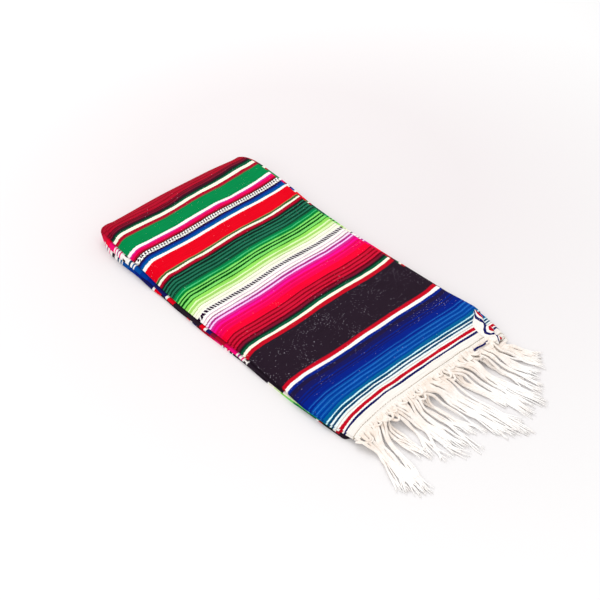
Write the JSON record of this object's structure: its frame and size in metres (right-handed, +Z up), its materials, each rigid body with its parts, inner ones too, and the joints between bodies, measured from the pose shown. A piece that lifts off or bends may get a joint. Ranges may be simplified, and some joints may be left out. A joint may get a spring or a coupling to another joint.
{
  "type": "folded mexican serape blanket",
  "caption": "Striped woven blanket with natural fringed ends, folded flat into a layered bundle that lies on a surface with its fringe spread out in front.",
  "frame": {"origin": "on the flat underside, at the middle of the folded bundle", "axes": "+X across the bundle, from the selvages to the lengthwise fold; +Y along it, from the fringed hems to the far fold; +Z up"},
  "size_m": [0.3455, 0.7461, 0.0382],
  "materials": {
    "striped_cloth": "matt weft-faced weave in cross stripes of crimson, pink, green, lime, cream, black, indigo and white, with rows of black and white pick-and-pick dots",
    "cotton_yarn": "natural unbleached cotton yarn, matt and slightly hairy"
  },
  "bodies": {
    "root": {"top_layers": "striped_cloth", "lower_layers": "striped_cloth", "top_fringe": "cotton_yarn", "second_fringe": "cotton_yarn"}
  },
  "joints": []
}
